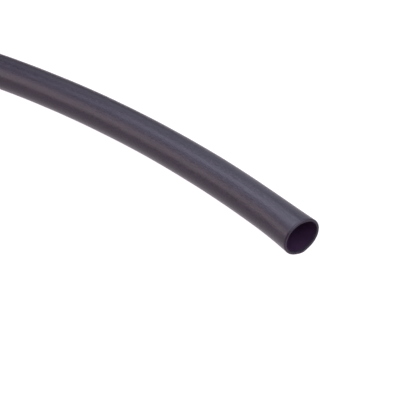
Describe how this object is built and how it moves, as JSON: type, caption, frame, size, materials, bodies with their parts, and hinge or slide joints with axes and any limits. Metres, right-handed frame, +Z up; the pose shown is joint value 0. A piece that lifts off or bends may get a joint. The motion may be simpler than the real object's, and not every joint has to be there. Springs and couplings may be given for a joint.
{
  "type": "heat shrink tube",
  "caption": "Cut length of black heat shrink tubing with a round open bore and square-cut ends, lying flat in a gentle bend, for sleeving wires and joints.",
  "frame": {"origin": "on the floor, under the middle of the bounding box", "axes": "+X along the chord between the two cut ends, towards the near end; +Y towards the outside of the bend; +Z up"},
  "size_m": [0.3046, 0.04, 0.0147],
  "materials": {
    "black_polyolefin": "satin"
  },
  "bodies": {
    "root": {"heat_shrink_tube": "black_polyolefin"}
  },
  "joints": []
}
